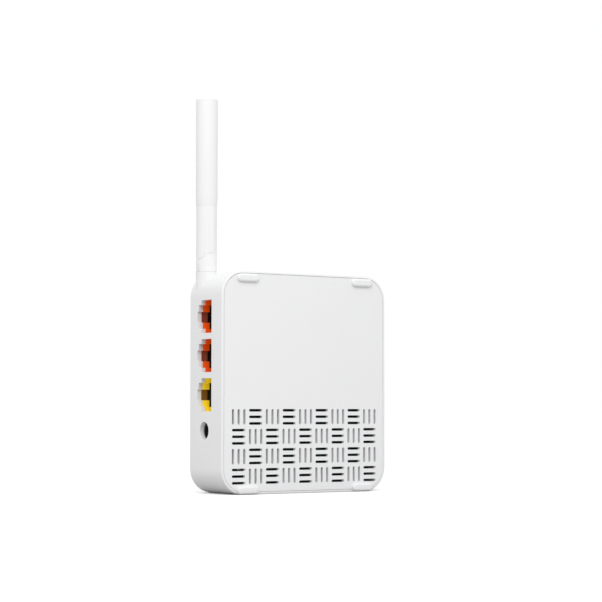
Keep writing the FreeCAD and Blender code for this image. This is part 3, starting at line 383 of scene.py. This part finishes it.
def make_painted_shade_group():
    """Painted depth shade of a socket: the colour falls off to dark past the lip and in the
    latch slot, where the shadow of the hollow falls.

    The shade's share rises from none to all across a short fade, along X from the lip's
    inner edge and along Y from the latch slot's roof, and the larger of the two counts.
    """
    group, start, end = new_group(
        "painted_recess_shade",
        {"Colour": (0.8, 0.1, 0.0, 1.0), "Painted slot shade": (0.08, 0.02, 0.01, 1.0),
         "Painted hollow shade": (0.01, 0.01, 0.01, 1.0), "Lip end": LIP_END,
         "Slot roof": SLOT_ROOF, "Fade": PAINTED_SHADE_FADE},
        {"Colour": "NodeSocketColor"})
    place = add_node(group, "ShaderNodeSeparateXYZ")
    group.links.new(add_node(group, "ShaderNodeTexCoord").outputs["Object"], place.inputs[0])

    def share(axis, edge):
        beyond = calculate(group, "SUBTRACT", place.outputs[axis], start.outputs[edge])
        part = calculate(group, "DIVIDE", beyond, start.outputs["Fade"])
        low = calculate(group, "MAXIMUM", part, 0.0)
        return calculate(group, "MINIMUM", low, 1.0)

    slot = mix_colour(group, share("Y", "Slot roof"), start.outputs["Colour"],
                      start.outputs["Painted slot shade"])
    hollow = mix_colour(group, share("X", "Lip end"), slot, start.outputs["Painted hollow shade"])
    group.links.new(hollow, end.inputs["Colour"])
    return group


# ------------------------------------------------------------------ materials


def new_material(name, group, values, bump, **shader_values):
    """Make a material whose Principled shader is fed by one node group."""
    material = bpy.data.materials.new(name)
    material.use_nodes = True
    tree = material.node_tree
    shader = tree.nodes["Principled BSDF"]
    effect = add_node(tree, "ShaderNodeGroup", node_tree=group)
    for label, value in values.items():
        effect.inputs[label].default_value = value
    tree.links.new(effect.outputs["Colour"], shader.inputs["Base Color"])
    tree.links.new(effect.outputs["Roughness"], shader.inputs["Roughness"])
    for label, value in shader_values.items():
        shader.inputs[label.replace("_", " ")].default_value = value
    relief = add_node(tree, "ShaderNodeBump")
    relief.inputs["Strength"].default_value = bump
    relief.inputs["Distance"].default_value = RELIEF_DEPTH
    tree.links.new(effect.outputs["Height"], relief.inputs["Height"])
    tree.links.new(relief.outputs["Normal"], shader.inputs["Normal"])
    return material


def paint_recess_shade_and_glow(material, painted_shade_group, painted_slot_shade, painted_hollow_shade, painted_glow):
    """Put the painted depth shade between a socket finish's colour and its shader.

    The shaded colour is also given as a weak emission, painted light that brightens
    the plastic where the lamps leave it dim.
    """
    tree = material.node_tree
    shader = tree.nodes["Principled BSDF"]
    colour = shader.inputs["Base Color"].links[0].from_socket
    shade = add_node(tree, "ShaderNodeGroup", node_tree=painted_shade_group)
    shade.inputs["Painted slot shade"].default_value = opaque(painted_slot_shade)
    shade.inputs["Painted hollow shade"].default_value = opaque(painted_hollow_shade)
    tree.links.new(colour, shade.inputs["Colour"])
    tree.links.new(shade.outputs["Colour"], shader.inputs["Base Color"])
    # Painted light: the shaded colour is also emitted, so the plastic lights itself.
    tree.links.new(shade.outputs["Colour"], shader.inputs["Emission Color"])
    shader.inputs["Emission Strength"].default_value = painted_glow


def opaque(colour):
    """A colour with full alpha."""
    return (*colour, 1.0)


def make_materials():
    """Build the four shared effects and every finish of the terminal."""
    moulded = make_moulded_group()
    metal = make_metal_group()
    mask = make_mask_group()
    painted_shade_group = make_painted_shade_group()
    tone = colours()

    def plastic(name, colour, roughness, bump, grain=5200.0, clouding=0.02, **more):
        values = {"Colour": opaque(colour), "Grain scale": grain, "Clouding": clouding,
                  "Roughness": roughness}
        return new_material(name, moulded, values, bump, **more)

    def steel(name, colour, roughness, tarnish):
        values = {"Colour": opaque(colour), "Roughness": roughness, "Tarnish": tarnish}
        return new_material(name, metal, values, 0.15, Metallic=1.0)

    shell = plastic("shell_plastic", tone.shell, 0.5, 0.35, Specular_IOR_Level=0.12)
    antenna = plastic("antenna_plastic", tone.antenna, 0.45, 0.2, 3600.0,
                      Specular_IOR_Level=0.12)
    orange = plastic("orange_plastic", tone.orange, 0.38, 0.25, 3000.0, 0.10)
    yellow = plastic("yellow_plastic", tone.yellow, 0.38, 0.25, 3000.0, 0.10)
    # Painted shade in the sockets past the lip and in the latch slot, and painted light as
    # emission.
    paint_recess_shade_and_glow(orange, painted_shade_group, **ORANGE_PAINTED_SHADE_AND_GLOW)
    paint_recess_shade_and_glow(yellow, painted_shade_group, **YELLOW_PAINTED_SHADE_AND_GLOW)
    black = plastic("black_plastic", (0.012, 0.012, 0.013), 0.42, 0.3, 3000.0, 0.2)
    chip = plastic("chip_resin", (0.018, 0.018, 0.02), 0.6, 0.5, 6000.0, 0.2)
    gold = steel("contact_gold", (0.83, 0.60, 0.22), 0.16, 0.08)
    nickel = steel("contact_nickel", (0.70, 0.68, 0.65), 0.18, 0.12)
    tin = steel("tinned_sheet", (0.66, 0.66, 0.65), 0.30, 0.15)
    return {
        "front_housing": shell, "back_cover": shell, "reset_button": shell,
        "antenna_base": antenna, "antenna_knuckle": antenna, "antenna_sleeve": antenna,
        "pivot_washers": plastic("washer_nylon", (0.66, 0.64, 0.58), 0.5, 0.1),
        "upper_orange_socket": orange, "lower_orange_socket": orange,
        "yellow_socket": yellow, "supply_socket": black, "reset_plunger": black,
        "reset_switch": black, "line_transformers": black,
        "upper_orange_contacts": gold, "lower_orange_contacts": gold,
        "yellow_socket_contacts": gold, "coax_plug": gold,
        "supply_pin": nickel, "supply_leaf_spring": nickel,
        "board_screws": steel("screw_steel", (0.50, 0.50, 0.51), 0.28, 0.1),
        "antenna_clip": steel("clip_steel", (0.42, 0.42, 0.43), 0.32, 0.2),
        "pivot_pin": steel("pin_steel", (0.56, 0.56, 0.57), 0.2, 0.05),
        "radiator_tube": steel("tube_brass", (0.72, 0.50, 0.20), 0.28, 0.3),
        "radiator_whip": steel("whip_copper", (0.72, 0.33, 0.18), 0.3, 0.3),
        "shield_can": tin, "crystal": tin,
        "heat_sink": steel("sink_aluminium", (0.72, 0.73, 0.74), 0.36, 0.05),
        "capacitors": steel("can_aluminium", (0.68, 0.69, 0.70), 0.34, 0.05),
        "main_chip": chip, "memory_chip": chip, "flash_chip": chip, "regulators": chip,
        "power_inductor": plastic("ferrite", (0.05, 0.05, 0.055), 0.7, 0.6, 4000.0, 0.3),
        "thermal_pad": plastic("thermal_pad", (0.30, 0.34, 0.40), 0.8, 0.4, 1800.0, 0.2),
        "antenna_lead": plastic("lead_jacket", (0.02, 0.02, 0.02), 0.45, 0.2),
        "hinge_lead": plastic("hinge_jacket", (0.02, 0.02, 0.02), 0.45, 0.2),
        "coax_tail": plastic("tail_jacket", (0.02, 0.02, 0.02), 0.45, 0.2),
        "indicator_leds": plastic("lamp_resin", (0.80, 0.76, 0.50), 0.25, 0.1,
                                  Coat_Weight=0.6),
        "light_guide": plastic("light_guide", (0.80, 0.83, 0.84), 0.2, 0.05,
                               Transmission_Weight=0.2, IOR=1.49),
        "main_board": new_material(
            "board_mask", mask, {"Mask": opaque(tone.board)}, 0.3,
            Specular_IOR_Level=0.15),
    }


class FinishNodes(bpy.types.Operator):
    """Give every node of the frame its procedural finish"""

    bl_idname = "terminal.finish_nodes"
    bl_label = "Finish all nodes"

    def execute(self, context):
        finishes = make_materials()
        missing = sorted(set(frame["nodes"]) - set(finishes))
        if missing:
            raise RuntimeError("no finish for " + ", ".join(missing))
        for name, part in frame["nodes"].items():
            part.data.materials.clear()
            part.data.materials.append(finishes[name])
        return {"FINISHED"}


# ----------------------------------------------------------- moulded surfaces


def body_of_node(node):
    """The name of the body that holds a node."""
    for body, members in frame["record"]["behaviour"]["bodies"].items():
        if node in members:
            return body
    raise RuntimeError("no body for " + node)


def stand_for(piece, node):
    """Make a new piece take a node's place, body and finish."""
    piece.data.materials.clear()
    piece.data.materials.append(frame["nodes"][node].data.materials[0])
    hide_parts(node)
    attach(piece, body_of_node(node))


def moulded_copy(node, bevel):
    """Copy a node's surface, join its triangles into faces and round its sharp corners."""
    source = frame["nodes"][node]
    mesh = bpy.data.meshes.new(node + "_surface")
    work = bmesh.new()
    work.from_mesh(source.data)
    bmesh.ops.remove_doubles(work, verts=work.verts, dist=sizes().merge_distance)
    bmesh.ops.dissolve_limit(work, angle_limit=FLAT_ANGLE, verts=work.verts,
                             edges=work.edges)
    work.to_mesh(mesh)
    work.free()
    mesh.shade_smooth()
    mesh.set_sharp_from_angle(angle=sizes().smooth_angle)
    piece = bpy.data.objects.new(node + "_moulding", mesh)
    bpy.context.collection.objects.link(piece)
    rounding = piece.modifiers.new("mould_rounding", "BEVEL")
    rounding.width = bevel
    rounding.segments = 2
    rounding.limit_method = "ANGLE"
    rounding.angle_limit = sizes().smooth_angle
    rounding.harden_normals = True
    rounding.use_clamp_overlap = True
    stand_for(piece, node)


class MakeMouldings(bpy.types.Operator):
    """Round the corners of the moulded pieces that show outside"""

    bl_idname = "terminal.make_mouldings"
    bl_label = "Moulded pieces"

    def execute(self, context):
        for node, bevel in MOULDED_PIECES.items():
            moulded_copy(node, bevel)
        return {"FINISHED"}


# ----------------------------------------------------------- computed surfaces


def grid_faces(rows, columns, wrap_rows, wrap_columns):
    """Quads of a grid of rows by columns of points, as a whole array of indices."""
    row = np.arange(rows if wrap_rows else rows - 1)
    column = np.arange(columns if wrap_columns else columns - 1)
    r, c = np.meshgrid(row, column, indexing="ij")
    below, right = (r + 1) % rows, (c + 1) % columns
    corners = (r * columns + c, r * columns + right, below * columns + right,
               below * columns + c)
    return np.stack([corner.ravel() for corner in corners], axis=1)


def mesh_object(name, points, faces):
    """Put computed points and faces in a mesh object at the origin."""
    mesh = bpy.data.meshes.new(name)
    mesh.from_pydata(points.tolist(), [], [list(face) for face in faces])
    mesh.shade_smooth()
    mesh.update()
    piece = bpy.data.objects.new(name, mesh)
    bpy.context.collection.objects.link(piece)
    return piece


def lathe(profile, centre, segments):
    """Turn a profile about a vertical axis.

    A point at angle a and profile station (radius, height) lies at the centre plus
    (radius cos a, radius sin a, height). The profile starts and ends on the axis.
    """
    radius, height = profile[:, 0], profile[:, 1]
    angle = np.linspace(0.0, 2.0 * np.pi, segments, endpoint=False)
    x = centre[0] + np.outer(radius, np.cos(angle))
    y = centre[1] + np.outer(radius, np.sin(angle))
    z = np.repeat(height[:, None], segments, axis=1)
    return np.stack([x.ravel(), y.ravel(), z.ravel()], axis=1)


def arc_points(centre, radius, begin, end, count):
    """Points on an arc: centre plus radius times (cosine, sine) of evenly spaced angles."""
    angle = np.radians(np.linspace(begin, end, count))
    return np.stack([centre[0] + radius * np.cos(angle), centre[1] + radius * np.sin(angle)],
                    axis=1)


class MakeSleeve(bpy.types.Operator):
    """Turn the antenna's sleeve from its outline, with rounded ends and a hollow bore"""

    bl_idname = "terminal.make_sleeve"
    bl_label = "Antenna sleeve"

    def execute(self, context):
        low, high = (Vector(corner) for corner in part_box("antenna_sleeve"))
        centre = (low + high) / 2
        outer = (high.x - low.x) / 2
        bend = sizes().sleeve_end_radius
        lip = bend / 8
        foot = outer - sizes().sleeve_taper
        bore = outer - SLEEVE_WALL
        roof = high.z - SLEEVE_ROOF
        outline = np.concatenate([
            [(0.0, roof), (bore, roof), (bore, roof - BORE_CORNER),
             (bore, low.z + BORE_CORNER), (bore, low.z)],
            arc_points((foot - lip, low.z + lip), lip, -90.0, 0.0, 5),
            [(outer, low.z + sizes().sleeve_taper_length)],
            arc_points((outer - bend, high.z - bend), bend, 0.0, 90.0, 8),
            [(0.0, high.z)],
        ])
        segments = sizes().sleeve_segments
        points = lathe(outline, centre, segments)
        faces = grid_faces(len(outline), segments, False, True)
        piece = mesh_object("antenna_sleeve_turned", points, faces)
        close_poles(piece)
        piece.data.set_sharp_from_angle(angle=TURNED_SHARP_ANGLE)
        stand_for(piece, "antenna_sleeve")
        return {"FINISHED"}


def close_poles(piece):
    """Merge the points that meet on an axis, and face everything outwards."""
    work = bmesh.new()
    work.from_mesh(piece.data)
    bmesh.ops.remove_doubles(work, verts=work.verts, dist=POLE_MERGE)
    bmesh.ops.recalc_face_normals(work, faces=work.faces)
    work.to_mesh(piece.data)
    work.free()


def smooth_path(corners, steps):
    """A quadratic B-spline through the stations of a bent wire.

    Between the middles of two neighbouring runs the path is the parabola whose control
    point is the corner between them, so each bend is rounded.
    """
    corners = np.asarray(corners, dtype=float)
    middles = (corners[1:] + corners[:-1]) / 2
    pieces = [corners[:1]]
    t = np.linspace(0.0, 1.0, steps)[:, None]
    for i in range(1, len(corners) - 1):
        before, corner, after = middles[i - 1], corners[i], middles[i]
        pieces.append((1 - t) ** 2 * before + 2 * t * (1 - t) * corner + t ** 2 * after)
    pieces.append(corners[-1:])
    return np.concatenate(pieces)


def carry_profile(path, width, thickness, sides=10):
    """Carry a rounded oblong along a path in the XY plane, its width along Z.

    The section is a superellipse of power 4. At each station its thickness lies along
    the path's left normal and its width along Z.
    """
    along = np.gradient(path, axis=0)
    along /= np.linalg.norm(along, axis=1)[:, None]
    normal = np.stack([-along[:, 1], along[:, 0]], axis=1)
    angle = np.linspace(0.0, 2.0 * np.pi, sides, endpoint=False)
    c, s = np.cos(angle), np.sin(angle)
    u = np.sign(c) * np.abs(c) ** 0.5 * width / 2
    v = np.sign(s) * np.abs(s) ** 0.5 * thickness / 2
    x = path[:, 0, None] + normal[:, 0, None] * v
    y = path[:, 1, None] + normal[:, 1, None] * v
    z = np.repeat(u[None, :], len(path), axis=0)
    return np.stack([x.ravel(), y.ravel(), z.ravel()], axis=1)


class MakeContacts(bpy.types.Operator):
    """Bend the spring wires of the network sockets, rounded where they turn"""

    bl_idname = "terminal.make_contacts"
    bl_label = "Socket contacts"

    def execute(self, context):
        for node, socket in CONTACT_NODES.items():
            self.bend_wires(node, socket)
        return {"FINISHED"}

    def bend_wires(self, node, socket):
        """Lay the wires from the board over the shelf to a crest and a dipped tip."""
        low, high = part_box(node)
        socket_low, socket_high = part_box(socket)
        middle = (socket_low[2] + socket_high[2]) / 2
        half = WIRE_HALF_THICKNESS
        leg, foot, crest = high[0] - half, low[1], high[1] - half
        shelf = foot + SHELF_RISE - half
        path = smooth_path([
            (leg, foot), (leg, (foot + shelf) / 2), (leg, shelf),
            (leg - SHELF_RUN, shelf), (low[0] + CLIMB_START, shelf),
            (low[0] + CREST_PLACE, crest + CREST_LIFT),
            (low[0] + TIP_PLACE, crest - TIP_DROP),
        ], BEND_STEPS)
        section = carry_profile(path, sizes().contact_width, 2 * half)
        count = sizes().contact_count
        sides = len(section) // len(path)
        faces = grid_faces(len(path), sides, False, True)
        ends = [tuple(range(sides - 1, -1, -1)),
                tuple(range(len(section) - sides, len(section)))]
        all_points, all_faces = [], []
        for i in range(count):
            level = middle + (i - (count - 1) / 2) * sizes().contact_pitch
            all_points.append(section + np.array([0.0, 0.0, level]))
            all_faces += [tuple(face) for face in faces + i * len(section)]
            all_faces += [tuple(k + i * len(section) for k in end) for end in ends]
        piece = mesh_object(node + "_wires", np.concatenate(all_points), all_faces)
        close_poles(piece)
        stand_for(piece, node)


# --------------------------------------------------------------------- studio


def aim(thing, target):
    """Turn a camera or light so that it looks at a point."""
    direction = Vector(target) - thing.location
    thing.rotation_euler = direction.to_track_quat("-Z", "Y").to_euler()


def add_area_light(name, place, target, power):
    """Hang a soft round light at a place and aim it at a target."""
    light = bpy.data.lights.new(name, "AREA")
    light.shape = "DISK"
    light.size = LIGHT_DIAMETER
    light.energy = power
    thing = bpy.data.objects.new(name, light)
    bpy.context.collection.objects.link(thing)
    thing.location = place
    aim(thing, target)


def floor_material(bounce):
    """White paper that is seen bright and throws back a smaller share of the light."""
    material = bpy.data.materials.new("studio_floor")
    material.use_nodes = True
    tree = material.node_tree
    seen = tree.nodes["Principled BSDF"]
    seen.inputs["Base Color"].default_value = WHITE
    seen.inputs["Roughness"].default_value = 0.9
    seen.inputs["Specular IOR Level"].default_value = 0.1
    seen.inputs["Emission Color"].default_value = WHITE
    seen.inputs["Emission Strength"].default_value = FLOOR_GLOW
    thrown = add_node(tree, "ShaderNodeBsdfDiffuse")
    thrown.inputs["Color"].default_value = (bounce, bounce, bounce, 1.0)
    choice = add_node(tree, "ShaderNodeMixShader")
    ray = add_node(tree, "ShaderNodeLightPath")
    tree.links.new(ray.outputs["Is Camera Ray"], choice.inputs[0])
    tree.links.new(thrown.outputs[0], choice.inputs[1])
    tree.links.new(seen.outputs[0], choice.inputs[2])
    tree.links.new(choice.outputs[0], tree.nodes["Material Output"].inputs["Surface"])
    return material


class MakeStudio(bpy.types.Operator):
    """Set up the floor, the white tent, the soft lights and the camera"""

    bl_idname = "terminal.make_studio"
    bl_label = "Studio"

    def execute(self, context):
        scene = context.scene
        studio = scene.terminal_studio
        scene.view_settings.view_transform = "Standard"
        self.make_floor(studio.floor_bounce)
        self.make_sky(scene, studio.sky_strength)
        add_area_light("key_light", KEY_PLACE, KEY_TARGET, studio.key_power)
        add_area_light("fill_light", FILL_PLACE, FILL_TARGET, studio.fill_power)
        self.make_camera(scene, studio)
        return {"FINISHED"}

    def make_floor(self, bounce):
        """A flat square at the level that the terminal stands on."""
        level = CAD_BOX[0][2]
        across = np.linspace(-FLOOR_HALF_WIDTH, FLOOR_HALF_WIDTH, 3)
        x, y = np.meshgrid(across, across, indexing="ij")
        points = np.stack([x.ravel(), y.ravel(), np.full(x.size, level)], axis=1)
        faces = grid_faces(3, 3, False, False)[:, ::-1]
        floor = mesh_object("studio_floor", points, faces)
        floor.data.materials.append(floor_material(bounce))

    def make_sky(self, scene, strength):
        """Light the terminal evenly from all round, and show plain white behind it."""
        world = bpy.data.worlds.new("white_tent")
        world.use_nodes = True
        background = world.node_tree.nodes["Background"]
        background.inputs["Color"].default_value = WHITE
        background.inputs["Strength"].default_value = strength
        scene.world = world

    def make_camera(self, scene, studio):
        """Stand the camera off its target along its azimuth and elevation."""
        azimuth, elevation = studio.camera_azimuth, studio.camera_elevation
        forward = Vector((-math.sin(azimuth) * math.cos(elevation),
                          math.cos(azimuth) * math.cos(elevation), -math.sin(elevation)))
        target = Vector(CAMERA_TARGET)
        camera = bpy.data.cameras.new("camera")
        camera.lens = studio.camera_lens
        camera.sensor_width = 36.0
        camera.clip_start = 0.01
        thing = bpy.data.objects.new("camera", camera)
        bpy.context.collection.objects.link(thing)
        thing.location = target - forward * studio.camera_distance
        thing.rotation_euler = forward.to_track_quat("-Z", "Y").to_euler()
        scene.camera = thing


class TerminalPanel(bpy.types.Panel):
    """Lists the operators that build the terminal's looks"""

    bl_idname = "VIEW3D_PT_terminal"
    bl_label = "Network terminal"
    bl_space_type = "VIEW_3D"
    bl_region_type = "UI"
    bl_category = "Terminal"

    def draw(self, context):
        for operator in OPERATORS:
            self.layout.operator(operator.bl_idname)
        for name in ("terminal_sizes", "terminal_colours", "terminal_studio"):
            settings = getattr(context.scene, name)
            box = self.layout.box()
            for label in settings.__annotations__:
                box.prop(settings, label)


OPERATORS = (FinishNodes, MakeMouldings, MakeSleeve, MakeContacts, MakeStudio)
SETTINGS = {
    "terminal_sizes": TerminalSizes,
    "terminal_colours": TerminalColours,
    "terminal_studio": TerminalStudio,
}


def register():
    """Add the add-on's classes and its settings."""
    for kind in (*SETTINGS.values(), *OPERATORS, TerminalPanel):
        bpy.utils.register_class(kind)
    for name, kind in SETTINGS.items():
        setattr(bpy.types.Scene, name, bpy.props.PointerProperty(type=kind))


def unregister():
    """Take the add-on's settings and classes away again."""
    for name in SETTINGS:
        delattr(bpy.types.Scene, name)
    for kind in (TerminalPanel, *reversed(OPERATORS), *SETTINGS.values()):
        bpy.utils.unregister_class(kind)


def main():
    """Register the add-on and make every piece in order."""
    register()
    bpy.ops.terminal.finish_nodes()
    bpy.ops.terminal.make_mouldings()
    bpy.ops.terminal.make_sleeve()
    bpy.ops.terminal.make_contacts()
    bpy.ops.terminal.make_studio()


if __name__ == "__main__":
    main()
